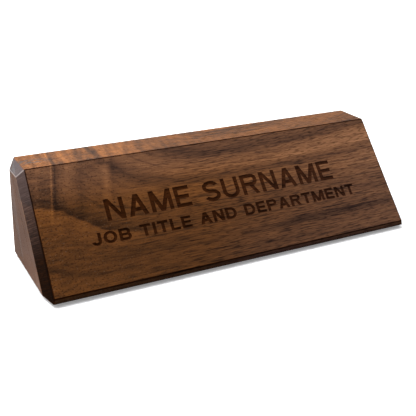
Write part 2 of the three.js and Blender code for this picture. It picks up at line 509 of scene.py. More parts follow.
curl = make_curl()
print("curl reaches", round(CURL_REACH * LENGTH / MM), "mm in from the left end")

# %% [markdown]
# ## Walnut colour
#
# One group turns the year, streak, pore and curl into a colour. The palette runs from the deep,
# greyish brown of late wood to an orange honey. Walnut heart also drifts in hue across a board,
# here from orange brown at the low left to a greyer, purplish brown at the right, so a slow tint
# comes next. Pale specks, painted highlights, go into a few pores. Last come grey patches on the
# top near the left end: pale dust with a painted grey sheen.

# %% Node group: walnut colour
WALNUT_TONES = [
    (0.00, linear(40, 25, 19)),
    (0.22, linear(70, 47, 34)),
    (0.45, linear(97, 64, 43)),
    (0.68, linear(124, 82, 53)),
    (1.00, linear(164, 112, 73)),
]
ORANGE_HEART = (1.00, 0.84, 0.46, 1.0)
GREY_HEART = (1.10, 1.21, 1.48, 1.0)
MIDDLE_TONE = 0.45
STREAK_DEPTH = 0.90
WAVE_DEPTH = 0.80
DASH_DEPTH = 0.36
PORE_DEPTH = 0.50
# Pale specks in some pores: painted highlights.
GLINT_COLOUR = linear(158, 136, 118)
GLINT_SHARE = 0.18
# Grey patches on the top near the left end: pale dust with a painted grey sheen.
DUST_AND_SHEEN_GREY = linear(76, 66, 61)
DUST_AND_SHEEN_PATCHES = (70.0, 45.0)
TOP_DEPTH_PER_SHARE = -5.0


def grain_tone(group, given):
    """How light the wood is at a point: its year, and all that crosses it."""
    streak = times(group, minus(group, given["Streak"], 0.5), STREAK_DEPTH)
    wave = times(group, minus(group, given["Wave"], 0.5), WAVE_DEPTH)
    tone = minus(group, given["Tone"], times(group, given["Dash"], DASH_DEPTH))
    to_right = ramp(group, given["Across"], [(0.42, 0.0), (1.0, 1.0)])
    by_height = ramp(group, given["Down"], [(0.0, 0.0), (0.02, 0.17), (0.50, 0.10)])
    tone = plus(group, tone, times(group, to_right, by_height))
    change = plus(group, minus(group, tone, MIDDLE_TONE), plus(group, streak, wave))
    return plus(group, times(group, change, given["Contrast"]), MIDDLE_TONE, clamp=True)


def heart_tint(group, given):
    """The slow drift from orange heartwood to grey."""
    greying = ramp(group, given["Across"], [(0.0, 0.0), (0.42, 0.10), (0.70, 0.58), (1.0, 1.0)])
    to_right = ramp(group, given["Across"], [(0.38, 0.0), (0.55, 1.0)])
    to_foot = ramp(group, given["Down"], [(0.68, 0.0), (1.0, 0.40)])
    greying = mix_values(group, times(group, to_right, to_foot), greying, 0.9)
    to_head = ramp(group, given["Down"], [(0.0, 1.0), (0.13, 0.85), (0.36, 0.0)])
    greying = mix_values(group, to_head, greying, 0.85)
    top_or_face = ramp(group, given["Down"], [(0.0, 0.14), (0.01, 1.0)])
    return blended(group, times(group, greying, top_or_face), ORANGE_HEART, GREY_HEART)


def dust_and_sheen_patches(group, given):
    """How much grey, pale dust with a painted sheen, lies in patches along the middle of the top by the left
    end.
    """
    from_front = times(group, given["Down"], TOP_DEPTH_PER_SHARE)
    by_end = ramp(group, given["Across"], [(0.0, 1.0), (0.055, 0.9), (0.095, 0.0)])
    mid_top = ramp(group, from_front, [(0.28, 0.0), (0.42, 1.0), (0.58, 1.0), (0.72, 0.0)])
    place = stretch(group, given["Across"], given["Down"], 0.0, *DUST_AND_SHEEN_PATCHES)
    patches = ramp(group, noise(group, place, detail=3.0), [(0.44, 0.0), (0.51, 0.95)])
    return times(group, times(group, by_end, mid_top), patches)


def make_walnut_colour():
    inputs = {
        "Tone": 0.5, "Streak": 0.5, "Dash": 0.0, "Pore": 0.0, "Glints": 0.0, "Wave": 0.5,
        "Across": 0.5, "Down": 0.5, "Contrast": 1.0,
    }
    group, given, made = new_group("walnut_colour", inputs, {"Colour": COLOUR})
    heartwood = ramp(group, grain_tone(group, given), WALNUT_TONES)
    heartwood = tinted(group, heartwood, heart_tint(group, given))
    shade = minus(group, 1.0, times(group, given["Pore"], PORE_DEPTH))
    values = {0: heartwood, 1: shade}
    shaded = add(group, "ShaderNodeVectorMath", values, operation="MULTIPLY").outputs["Vector"]
    with_glints = blended(group, times(group, given["Glints"], GLINT_SHARE), shaded, GLINT_COLOUR)
    # Grey patches of dust with a painted sheen on the top by the left end.
    with_dust_and_sheen = blended(group, dust_and_sheen_patches(group, given), with_glints, DUST_AND_SHEEN_GREY)
    group.links.new(with_dust_and_sheen, made["Colour"])
    return group


walnut_colour = make_walnut_colour()
print("walnut palette has", len(WALNUT_TONES), "tones")

# %% [markdown]
# ## Saw marks
#
# The facets at the ends come straight from a fine saw, and its teeth leave lines nearly square
# to the cut, a little over half a millimetre apart. They are a noise drawn out along the teeth's
# path, and they serve twice: as the height for a bump, and, painted into the colour, as shade in
# the hollows and highlights on the ridges.

# %% Node group: saw marks
SAW_DRIFT = 70.0
SAW_LEAN = 0.19


def make_saw_marks():
    inputs = {"Rise": 0.0, "Depth": 0.0, "Marks per metre": 1650.0}
    group, given, made = new_group("saw_marks", inputs, {"Height": FLOAT})
    leaning = minus(group, given["Rise"], times(group, given["Depth"], SAW_LEAN))
    place = stretch(group, leaning, given["Depth"], 0.0, given["Marks per metre"], SAW_DRIFT)
    group.links.new(noise(group, place, detail=2.0, roughness=0.6), made["Height"])
    return group


saw_marks = make_saw_marks()
usual_marks = saw_marks.interface.items_tree["Marks per metre"].default_value
print("a saw mark about every", round(1000 / usual_marks, 2), "mm")

# %% [markdown]
# ## The walnut finishes
#
# Each face of a board shows the same wood finished another way: planed and oiled on the long
# faces, sanded on the ends, left from the saw on the facets, rubbed pale on the arrises, burnt
# in the letters. The ends, the crown, the facets, the land and the arrises also carry painted
# light and shade in their colour. So every finish below starts from one recipe, `wood`, and then
# departs from it. Roughness and bump come from the wood itself: pores are pits, and streaks are
# slight ridges.

# %% The shared recipe
FRONT_BOARD = {"Swell": 0.5, "Lean": 4.0, "Wander": 0.05, "Shift": 0.0}
MIDDLE_BOARD = {"Swell": 0.05, "Lean": 9.0, "Wander": 0.07, "Shift": 0.11}
REAR_BOARD = {"Swell": 0.0, "Lean": 6.0, "Wander": 0.09, "Shift": -0.13}
MATT_IOR = 1.18


def shader_of(material):
    return material.node_tree.nodes["Principled BSDF"]


def new_material(name):
    material = bpy.data.materials.new(name)
    material.use_nodes = True
    return material, material.node_tree, shader_of(material)


def wood(tree, board, contrast=1.0, pore_amount=1.0):
    """Places the wood groups for one board and returns what the finishes need."""
    where = place_group(tree, board_directions)
    along, rise, depth = where["Along"], where["Rise"], where["Depth"]
    rings = place_group(tree, growth_rings, {"Along": along, "Rise": rise, "Depth": depth, **board})
    tone = place_group(tree, year_bands, {"Ring": rings["Ring"], "Along": along})["Tone"]
    lay = {"Along": along, "Lay": rings["Lay"], "Depth": depth, "Pore amount": pore_amount}
    grain = place_group(tree, fibres, lay)
    wave = place_group(tree, curl, {"Along": along, "Rise": rise})["Wave"]
    across = share_along(tree, along)
    values = {
        "Tone": tone, "Streak": grain["Streak"], "Dash": grain["Dash"], "Pore": grain["Pore"],
        "Glints": grain["Glints"], "Wave": wave, "Across": across, "Down": share_down(tree, rise),
        "Contrast": contrast,
    }
    return {
        "colour": place_group(tree, walnut_colour, values)["Colour"], "pore": grain["Pore"],
        "streak": grain["Streak"], "rise": rise, "depth": depth, "across": across,
    }


def paint(tree, shader, colour):
    tree.links.new(colour, shader.inputs["Base Color"])


def roughen(tree, shader, base, pattern, amount):
    """A base roughness, and more of it where the pattern is high."""
    tree.links.new(plus(tree, base, times(tree, pattern, amount)), shader.inputs["Roughness"])


def bump(tree, shader, height, distance, strength=1.0):
    """Feeds a height into the shader's normal. The distance is a real one, in metres."""
    values = {"Height": height, "Distance": distance, "Strength": strength}
    tree.links.new(add(tree, "ShaderNodeBump", values).outputs["Normal"], shader.inputs["Normal"])


def make_matt(shader, gloss=0.04):
    """Open, unpolished wood: almost no shine, and hardly more at a low angle."""
    shader.inputs["IOR"].default_value = MATT_IOR
    shader.inputs["Specular IOR Level"].default_value = gloss


print("three boards share one recipe")

# %% Finish: planed and oiled long faces
def planed_walnut(name, board):
    material, tree, shader = new_material(name)
    parts = wood(tree, board)
    paint(tree, shader, parts["colour"])
    in_pores = plus(tree, 0.40, times(tree, parts["pore"], 0.25))
    roughen(tree, shader, in_pores, parts["streak"], 0.14)
    make_matt(shader, 0.30)
    height = minus(tree, times(tree, parts["streak"], 0.35), parts["pore"])
    bump(tree, shader, height, 0.10 * MM, 0.6)
    return material


print("planed finish: roughness from 0.40, more in the pores")

# %% [markdown]
# ## Sanded ends, and the crown with painted sheen
#
# End grain is sanded hard, because it drinks oil and would turn nearly black. Fine dust stays in
# it and makes it a pale, greyish brown with little figure, and a painted grey sheen makes it paler
# and greyer towards the foot. One way is a second, paler palette. Here the wood's own colour is
# mixed with the colour of dust, so that a ring still shows faintly where it comes through. The
# crown, the small facet between the top and the end, is the same finish with a real shine and a
# grey sheen painted into its colour.

# %% Finish: sanded end grain
SANDED_DUST = linear(93, 68, 56)
# The crown's grey: a painted sheen.
CROWN_SHEEN_GREY = linear(78, 70, 72)
# Painted grey sheen: the ends are made paler and greyer towards the foot.
FOOT_SHEEN = [
    (0.0, (2.25, 2.8, 3.4, 1.0)),
    (0.30, (1.48, 1.58, 1.70, 1.0)),
    (0.60, 0.97),
    (1.0, 1.08),
]


def sanded_end(name, board, dust_and_sheen=SANDED_DUST, amount=0.72):
    material, tree, shader = new_material(name)
    parts = wood(tree, board, contrast=0.45, pore_amount=0.6)
    colour = blended(tree, amount, parts["colour"], dust_and_sheen)
    # Painted grey sheen, strongest towards the foot.
    foot_sheen = ramp(tree, over(tree, parts["rise"], SLOPE_HEIGHT), FOOT_SHEEN)
    paint(tree, shader, tinted(tree, colour, foot_sheen))
    roughen(tree, shader, 0.34, parts["pore"], 0.3)
    make_matt(shader)
    bump(tree, shader, times(tree, parts["pore"], -1.0), 0.06 * MM, 0.5)
    return material


def crown_with_painted_sheen(name, board):
    # Real shine from the IOR and specular level below, and a grey sheen painted into the colour.
    material = sanded_end(name, board, CROWN_SHEEN_GREY, 0.85)
    shader = shader_of(material)
    shader.inputs["IOR"].default_value = 1.45
    shader.inputs["Specular IOR Level"].default_value = 0.12
    return material


print("sanded ends: pores cut across, as dots")

# %% [markdown]
# ## Facets from the saw
#
# The long facets at the ends are left as the saw cut them, then oiled. Their colour carries painted
# shade, deepest near the foot, and a painted grey sheen on the upper part. All of this follows
# the height up the slope, so it is three ramps over one number. The saw's lines are painted as
# highlights on their ridges and shade in their hollows, and a narrow band of painted shade lies
# along the sloping face.

# %% Finish: facets from the saw
# Painted shade darkens the whole facet, and more of it towards the foot; a painted grey sheen pales the
# upper part.
SAWN_SHADE_TINT = (0.60, 0.60, 0.68, 1.0)
SAWN_SHEEN_GREY = linear(90, 77, 75)
FOOT_SHADE = (0.17, 0.155, 0.165, 1.0)
HALF_FOOT_SHADE = (0.285, 0.255, 0.23, 1.0)
UNCHANGED = (1.0, 1.0, 1.0, 1.0)
# A band of painted shade along the sloping face, wider at the foot.
SHADE_BAND_AT_FOOT = 1.5 * MM
SHADE_BAND_AT_TOP = 0.3 * MM


def sawn_facet(name, board):
    material, tree, shader = new_material(name)
    parts = wood(tree, board, contrast=0.5, pore_amount=0.8)
    height = over(tree, parts["rise"], SLOPE_HEIGHT)

    marks = place_group(tree, saw_marks, {"Rise": parts["rise"], "Depth": parts["depth"]})["Height"]
    # Painted highlights on the saw marks' ridges and painted shade in their hollows.
    mark_light_and_shade = ramp(tree, marks, [(0.36, 0.55), (0.52, 0.90), (0.66, 1.65)])
    fading = ramp(tree, height, [(0.55, 0.0), (1.0, 0.7)])
    mark_light_and_shade = blended(tree, fading, mark_light_and_shade, UNCHANGED)
    # Painted shade beside the sloping face.
    shade_band = mix_values(tree, height, SHADE_BAND_AT_FOOT, SHADE_BAND_AT_TOP)
    from_face = over(tree, parts["depth"], times(tree, shade_band, 2.0), clamp=True)
    mark_light_and_shade = tinted(tree, mark_light_and_shade, ramp(tree, from_face, [(0.40, 0.22), (0.60, 1.0)]))

    # Painted shade, darkest at the foot.
    painted_foot_shade = ramp(tree, height, [(0.0, FOOT_SHADE), (0.40, HALF_FOOT_SHADE), (1.0, UNCHANGED)])
    shaded_facet = tinted(tree, tinted(tree, parts["colour"], SAWN_SHADE_TINT), painted_foot_shade)
    # Painted grey sheen over the upper part of the facet.
    painted_sheen = ramp(tree, height, [(0.30, 0.0), (0.65, 0.34), (1.0, 0.78)])
    paint(tree, shader, tinted(tree, blended(tree, painted_sheen, shaded_facet, SAWN_SHEEN_GREY), mark_light_and_shade))
    roughen(tree, shader, 0.45, marks, 0.3)
    make_matt(shader)
    bump(tree, shader, marks, 0.15 * MM, 0.8)
    return material


print("sawn facets: dark band from", SHADE_BAND_AT_FOOT / MM, "mm wide at the foot")

# %% [markdown]
# ## Eased arrises
#
# Three things happen to an edge. The sanding block rubs it paler and smoother than the faces,
# and a slight painted highlight goes with that; round the crown a bright grey highlight is
# painted in; and round the sloping face and along the land a thin dark outline of painted shade
# is drawn. A mask for worn edges, made from the shape, is the usual way. The eased edges here
# are real faces, so each kind simply gets a material of its own.

# %% Finish: eased arrises
# Slight wear with a painted highlight, for the other arrises.
WEAR_AND_HIGHLIGHT_TINT = (1.12, 1.08, 1.04, 1.0)
# Painted highlight for the arrises by the crown.
ARRIS_HIGHLIGHT_TINT = (1.6, 1.6, 1.8, 1.0)
ARRIS_HIGHLIGHT_GREY = linear(132, 122, 121)
# Painted shade for the arrises round the sloping face and along the land.
ARRIS_SHADE_TINT = (0.16, 0.12, 0.11, 1.0)


def eased_arris(name, board, tint, painted_highlight=0.0):
    material, tree, shader = new_material(name)
    parts = wood(tree, board, contrast=0.7)
    colour = tinted(tree, parts["colour"], tint)
    paint(tree, shader, blended(tree, painted_highlight, colour, ARRIS_HIGHLIGHT_GREY))
    roughen(tree, shader, 0.30, parts["streak"], 0.15)
    bump(tree, shader, parts["streak"], 0.03 * MM, 0.5)
    return material


def wear_and_highlight_arris(name, board):
    material = eased_arris(name, board, WEAR_AND_HIGHLIGHT_TINT)
    make_matt(shader_of(material), 0.5)
    return material


def highlight_arris(name, board):
    return eased_arris(name, board, ARRIS_HIGHLIGHT_TINT, 0.8)


def dark_arris(name, board):
    material = eased_arris(name, board, ARRIS_SHADE_TINT)
    make_matt(shader_of(material), 0.05)
    return material


# The dark arrises are painted shade.
print("arrises: pale where rubbed, dark where oil gathers")

# %% [markdown]
# ## Burnt letters and the dark land
#
# A laser chars the wood that it leaves, but thinly: the grain still shows, darker and duller. So
# the burnt finish is the wood's colour times a dark tint, not a flat brown. The land, the low
# upright strip under the sloping face, is painted dark with a bluish painted shade, which pales a
# little from the left end to the right.

# %% Finish: laser-burnt letters
CHAR_TINT = (0.32, 0.26, 0.25, 1.0)


def burnt_walnut(name, board):
    material, tree, shader = new_material(name)
    parts = wood(tree, board, contrast=0.7)
    paint(tree, shader, tinted(tree, parts["colour"], CHAR_TINT))
    roughen(tree, shader, 0.62, parts["streak"], 0.2)
    make_matt(shader)
    bump(tree, shader, parts["streak"], 0.12 * MM, 0.7)
    return material


print("burnt letters: the grain still shows through the char")

# %% Finish: the dark land under the sloping face
# Painted shade on the land, bluish, paling from the left end to the right.
LAND_SHADE_TINTS = [
    (0.2, (0.35, 0.41, 0.66, 1.0)),
    (0.5, (0.42, 0.48, 0.75, 1.0)),
    (1.0, (0.50, 0.50, 0.50, 1.0)),
]


def dark_land(name, board):
    material, tree, shader = new_material(name)
    parts = wood(tree, board, contrast=0.7)
    paint(tree, shader, tinted(tree, parts["colour"], ramp(tree, parts["across"], LAND_SHADE_TINTS)))
    roughen(tree, shader, 0.45, parts["streak"], 0.2)
    make_matt(shader)
    bump(tree, shader, parts["streak"], 0.05 * MM, 0.5)
    return material


print("land: tinted by", len(LAND_SHADE_TINTS), "stops along its length")

# %% [markdown]
# ## Boards with eased arrises
#
# No arris on real furniture is a perfect edge: a sanding block takes it down by a fraction of a
# millimetre, and that sliver catches the light. The CAD boards are made of triangles, so each is
# copied, its flats are merged into whole faces, and only the outer arrises are rounded. The
# edges along a glued joint stay square, or the joint would show as a groove.

# %% Ease a board's outer arrises
EASE = 0.5 * MM
FINISHES = ("planed", "end", "crown", "facet", "arris", "bright_arris", "dark_arris", "burnt", "land")
ANGLE_OF_AN_ARRIS = math.radians(12)
FLAT_WITHIN = math.radians(0.5)
SAME_POINT = 0.001 * MM
SQUARE_ON = 0.99
CROWN_WIDTH = 4 * MM


def object_from(shape, name, materials=()):
    """Turns a bmesh into a new object in the scene."""
    mesh = bpy.data.meshes.new(name)
    shape.to_mesh(mesh)
    shape.free()
    for material in materials:
        mesh.materials.append(material)
    piece = bpy.data.objects.new(name, mesh)
    bpy.context.scene.collection.objects.link(piece)
    return piece


def is_joint(face, node):
    """True for a face that is glued to the next board."""
    facing = face.normal.dot(INTO_WOOD)
    if node == "front_board":
        return facing > SQUARE_ON
    if node == "rear_board":
        return facing < -SQUARE_ON
    return abs(facing) > SQUARE_ON


def merged_board(node):
    """The board's CAD shape as a bmesh whose flats are whole faces."""
    shape = bmesh.new()
    shape.from_mesh(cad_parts[node].data)
    bmesh.ops.remove_doubles(shape, verts=shape.verts, dist=SAME_POINT)
    bmesh.ops.dissolve_limit(shape, angle_limit=FLAT_WITHIN, verts=shape.verts, edges=shape.edges)
    shape.verts.index_update()
    shape.normal_update()
    return shape


def ease_arrises(shape, node):
    arrises = [
        edge for edge in shape.edges
        if len(edge.link_faces) == 2
        and edge.calc_face_angle_signed() > ANGLE_OF_AN_ARRIS
        and not any(is_joint(face, node) for face in edge.link_faces)
    ]
    bmesh.ops.bevel(
        shape, geom=arrises, offset=EASE, offset_type="OFFSET", segments=3, profile=0.5,
        affect="EDGES", clamp_overlap=True, material=FINISHES.index("arris"),
    )
    return len(arrises)


def flat_finish(normal, node):
    """The finish of a flat, from the way it looks."""
    if abs(normal.x) > SQUARE_ON:
        return "end"
    if abs(normal.x) > 0.5:
        return "crown" if abs(normal.y) < 0.05 else "facet"
    if normal.y < -SQUARE_ON and node == "front_board":
        return "land"
    return "planed"


def arris_finish(centre, crown_foot):
    """The finish of an eased arris, from where it lies."""
    at_end = abs(centre.x) > LENGTH / 2 - CROWN_WIDTH
    if at_end and crown_foot < centre.z < cad_box[1].z - 2 * EASE:
        return "bright_arris"
    around_face = (centre - FACE_FOOT).dot(INTO_WOOD) < EASE
    by_land = centre.y < cad_box[0].y + EASE
    # Arrises round the sloping face and by the land take the painted shade.
    return "dark_arris" if around_face or by_land else "arris"


def sort_finishes(shape, node):
    """Gives every face its finish."""
    arrises = [face for face in shape.faces if face.material_index == FINISHES.index("arris")]
    crown_foot = cad_box[1].z
    for face in shape.faces:
        if face.material_index != FINISHES.index("arris"):
            finish = flat_finish(face.normal, node)
            face.material_index = FINISHES.index(finish)
            if finish == "crown":
                crown_foot = min([crown_foot] + [vert.co.z for vert in face.verts])
    for face in arrises:
        finish = arris_finish(face.calc_center_median(), crown_foot - EASE)
        face.material_index = FINISHES.index(finish)


def board_finishes(node, board):
    """One material for each finish, in the order that the face numbers use."""
    makers = {
        "planed": planed_walnut, "end": sanded_end, "crown": crown_with_painted_sheen, "facet": sawn_facet,
        "arris": wear_and_highlight_arris, "bright_arris": highlight_arris, "dark_arris": dark_arris,
        "burnt": burnt_walnut, "land": dark_land,
    }
    return [makers[finish](f"{node}_{finish}", board) for finish in FINISHES]


def make_board(node, board):
    shape = merged_board(node)
    for face in shape.faces:
        face.material_index = 0
    count = ease_arrises(shape, node)
    sort_finishes(shape, node)
    piece = object_from(shape, f"{node}_wood", board_finishes(node, board))
    print(f"{node}: {count} arrises eased, {len(piece.data.polygons)} faces")
    return piece


front_wood = make_board("front_board", FRONT_BOARD)
middle_wood = make_board("middle_board", MIDDLE_BOARD)
rear_wood = make_board("rear_board", REAR_BOARD)

# %% [markdown]
# ## Block capitals
#
# The letters are plain block capitals drawn with three strokes: an upright or level bar, a
# leaning bar, and part of an oval ring. Each letter lists its strokes on a grid one capital
# high. The words are placeholders, so that the plate carries nobody's name. A ready-made font
# would be quicker, but its outlines cross themselves when thickened, and a crossed outline makes
# a cutter that a boolean can't trust.

# %% Strokes
LEVEL_SHARE = 0.86
RING_STEP = math.radians(9)


def bar(left, bottom, right, top):
    return [[(left, bottom), (right, bottom), (right, top), (left, top)]]


def lean(foot, head, width, bottom=0.0, top=1.0):
    return [[(foot, bottom), (foot + width, bottom), (head + width, top), (head, top)]]


def ring(centre, radii, stroke, start, end):
    """Part of an oval ring, as a chain of four-sided pieces."""
    start, end = math.radians(start), math.radians(end)
    steps = max(2, round((end - start) / RING_STEP))
    inner = (radii[0] - stroke, radii[1] - LEVEL_SHARE * stroke)

    def spoke(i):
        angle = start + (end - start) * i / steps
        turn_x, turn_y = math.cos(angle), math.sin(angle)
        return [(centre[0] + r[0] * turn_x, centre[1] + r[1] * turn_y) for r in (inner, radii)]

    spokes = [spoke(i) for i in range(steps + 1)]
    return [[a[0], a[1], b[1], b[0]] for a, b in zip(spokes, spokes[1:])]


def bowl(right, bottom, top, stroke):
    """The closed round of a B, D, P or R, from the stem to its far side."""
    radius = (top - bottom) / 2
    level = LEVEL_SHARE * stroke
    flats = bar(0, bottom, right - radius, bottom + level) + bar(0, top - level, right - radius, top)
    return flats + ring((right - radius, (bottom + top) / 2), (radius, radius), stroke, -90, 90)


print("a stroke is a list of outlines, one capital high")

# %% The letters of the two lines
LETTER_WIDTHS = {
    "A": 0.98, "B": 0.92, "D": 0.94, "E": 0.80, "I": 0.24, "J": 0.74, "L": 0.76, "M": 1.12, "N": 0.92,
    "O": 1.02, "P": 0.88, "R": 0.93, "S": 0.88, "T": 0.84, "U": 0.92, " ": 0.40,
}


def letter_strokes(letter, stroke):
    w = LETTER_WIDTHS[letter]
    level = LEVEL_SHARE * stroke
    leaning = 1.12 * stroke
    apex = (w - leaning) / 2
    middle = 0.5 - level / 2
    stem = bar(0, 0, stroke, 1)
    far_stem = bar(w - stroke, 0, w, 1)
    s_radius = 0.25 + level / 4
    strokes = {
        "A": lean(0, apex, leaning) + lean(w - leaning, apex, leaning)
             + bar(0.2 * w, 0.2, 0.8 * w, 0.2 + level),
        "B": stem + bowl(w, 0, 0.5 + level / 2, stroke) + bowl(0.95 * w, middle, 1, stroke),
        "D": stem + bowl(w, 0, 1, stroke),
        "E": stem + bar(0, 0, w, level) + bar(0, middle, 0.93 * w, middle + level) + bar(0, 1 - level, w, 1),
        "I": stem,
        "J": bar(w - stroke, 0.32, w, 1) + ring((w / 2, 0.32), (w / 2, 0.32), stroke, 185, 360),
        "L": stem + bar(0, 0, w, level),
        "M": stem + far_stem + lean(apex, 0, leaning) + lean(apex, w - leaning, leaning),
        "N": stem + far_stem + lean(w - leaning, 0, leaning),
        "O": ring((w / 2, 0.5), (w / 2, 0.5), stroke, 0, 360),
        "P": stem + bowl(w, 0.40, 1, stroke),
        "R": stem + bowl(w, 0.42, 1, stroke) + lean(w - leaning, 0.42 * w, leaning, 0, 0.5),
        "S": ring((w / 2, 1 - s_radius), (w / 2, s_radius), stroke, 22, 270)
             + ring((w / 2, s_radius), (w / 2, s_radius), stroke, -158, 90),
        "T": bar(0, 1 - level, w, 1) + bar((w - stroke) / 2, 0, (w + stroke) / 2, 1),
        "U": bar(0, 0.36, stroke, 1) + bar(w - stroke, 0.36, w, 1)
             + ring((w / 2, 0.36), (w / 2, 0.36), stroke, 180, 360),
        " ": [],
    }
    return strokes[letter]


print(len(LETTER_WIDTHS) - 1, "capitals drawn")

# %% [markdown]
# ## Cutting the letters
#
# A laser burns the wood away to an even depth. In mesh work that is a cutter: each letter's
# strokes are joined into one outline and pulled into a prism that starts above the face and
# stops half a millimetre under it, and a boolean takes all the prisms out of the board at once.
# A bump or a painted dark patch would look the same from afar, but the letters would have no
# walls, and the edges wouldn't catch light.

# %% Join strokes into one flat shape
JOIN_WITHIN = 1e-5


def flat_union(outlines):
    """Points and triangles of the area that overlapping outlines cover together."""
    points, loops = [], []
    for outline in outlines:
        pairs = zip(outline, outline[1:] + outline[:1])
        turning = sum(a[0] * b[1] - b[0] * a[1] for a, b in pairs)
        ordered = outline if turning > 0 else outline[::-1]
        loops.append(list(range(len(points), len(points) + len(ordered))))
        points += [Vector(point) for point in ordered]
    joined, _, triangles, _, _, sources = delaunay_2d_cdt(points, [], loops, 1, JOIN_WITHIN)
    return joined, [triangle for triangle, source in zip(triangles, sources) if source]


def pull_prism(shape, points, triangles, place, top, bottom):
    """Adds a closed prism over a flat shape. `place` turns a flat point and a depth into 3D."""
    upper = [shape.verts.new(place(point, top)) for point in points]
    lower = [shape.verts.new(place(point, bottom)) for point in points]
    sides = {}
    for a, b, c in triangles:
        shape.faces.new([upper[a], upper[b], upper[c]])
        shape.faces.new([lower[c], lower[b], lower[a]])
        for edge in ((a, b), (b, c), (c, a)):
            sides[edge] = True
    for a, b in sides:
        if (b, a) not in sides:
            shape.faces.new([upper[b], upper[a], lower[a], lower[b]])


print("strokes closer than", JOIN_WITHIN, "of a capital's height are joined")

# %% Set the two lines and cut them
BURN_DEPTH = 0.5 * MM
CLEAR_ABOVE = 0.4 * MM
JUST_UNDER = 0.02 * MM
WORDS_REACH = 0.45
WORDS_BAND = (0.2, 0.8)
NAME_LINE = {"words": "NAME SURNAME", "capital": 13.7 * MM, "width": 164 * MM, "baseline": 38.6 * MM,
             "stroke": 0.205, "widen": 0.95}
TITLE_LINE = {"words": "JOB TITLE AND DEPARTMENT", "capital": 7.5 * MM, "width": 189.5 * MM,
              "baseline": 25.2 * MM, "stroke": 0.245, "widen": 1.10}


def set_line(shape, words, capital, width, baseline, stroke, widen):
    """Adds the cutters for one line of words, centred on the face and spaced to its width."""
    letters = sum(LETTER_WIDTHS[letter] for letter in words) * capital * widen
    gap = (width - letters) / (len(words) - 1)
    pen = -width / 2
    for letter in words:
        if letter != " ":
            points, triangles = flat_union(letter_strokes(letter, stroke))

            def place(point, depth, left=pen):
                level = FACE_FOOT + ALONG * (left + point[0] * capital * widen)
                return level + UP_SLOPE * (baseline + point[1] * capital) + INTO_WOOD * depth

            pull_prism(shape, points, triangles, place, -CLEAR_ABOVE, BURN_DEPTH)
        pen += LETTER_WIDTHS[letter] * capital * widen + gap
    print(f"{words!r}: letters {capital / MM:.1f} mm high, {gap / MM:.2f} mm apart")


def make_cutter():
    shape = bmesh.new()
    set_line(shape, **NAME_LINE)
    set_line(shape, **TITLE_LINE)
    bmesh.ops.recalc_face_normals(shape, faces=shape.faces)
    return object_from(shape, "letter_cutter")


def cut_letters(piece):
    cutter = make_cutter()
    cut = piece.modifiers.new("letters", "BOOLEAN")
    cut.operation, cut.solver, cut.object = "DIFFERENCE", "EXACT", cutter
    evaluated = piece.evaluated_get(bpy.context.evaluated_depsgraph_get())
    mesh = bpy.data.meshes.new_from_object(evaluated)
    piece.modifiers.clear()
    piece.data = mesh
    bpy.data.objects.remove(cutter)
    burnt = 0
    for face in mesh.polygons:
        place = face.center - FACE_FOOT
        sunk = JUST_UNDER < place.dot(INTO_WOOD) < 2 * BURN_DEPTH
        inboard = abs(place.x) < WORDS_REACH * LENGTH
        in_band = WORDS_BAND[0] < place.dot(UP_SLOPE) / SLOPE_HEIGHT < WORDS_BAND[1]
        if sunk and inboard and in_band:
            face.material_index = FINISHES.index("burnt")
            burnt += 1
    print(burnt, "faces burnt,", len(mesh.polygons), "in the front board")


cut_letters(front_wood)

# %% [markdown]
# ## Smooth shading that keeps flats flat
#
# Rounded arrises want smooth shading, and broad flats want their own normal. A weighted normal
# modifier gives the larger face the say where the two meet, and edges sharper than a chamfer,
# such as the rims of the letters, are marked sharp.

# %% Shade the boards and hand them to the frame
SHARP = math.radians(40)


def shade(piece):
    piece.data.shade_smooth()
    piece.data.set_sharp_from_angle(angle=SHARP)
    weigh = piece.modifiers.new("flats_lead", "WEIGHTED_NORMAL")
    weigh.keep_sharp = True
    weigh.weight = 100


def stand_for(piece, node):
    """The piece replaces a CAD node and moves with the wedge's one body."""
    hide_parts(node)
    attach(piece, "root")


for piece, node, slot in (
    (front_wood, "front_board", "front_walnut"),
    (middle_wood, "middle_board", "middle_walnut"),
    (rear_wood, "rear_board", "rear_walnut"),
):
    shade(piece)
    stand_for(piece, node)
print("three boards in place")

# %% [markdown]
# ## Glue lines
#
# A glued joint keeps a film a few tenths of a millimetre thick between the boards. It shows on
# the ends and underneath as a fine line, hardly darker than the wood. Each film here is the face
# of the board behind it, holes for the dowels included, pulled forward to nearly fill the gap,
# and drawn in by a hair all round, as squeezed-out glue is once it is scraped off.

# %% Make the glue films
FILM_THICKNESS = 0.26 * MM
FILM_CLEARANCE = 0.02 * MM
FILM_SHRINK = 0.9985
GLUE_TINT = (0.55, 0.50, 0.46, 1.0)


def glue_material():
    material, tree, shader = new_material("walnut_glue")
    parts = wood(tree, MIDDLE_BOARD, contrast=0.4)
    paint(tree, shader, tinted(tree, parts["colour"], GLUE_TINT))
    roughen(tree, shader, 0.35, parts["streak"], 0.2)
    bump(tree, shader, parts["streak"], 0.03 * MM, 0.5)
    return material


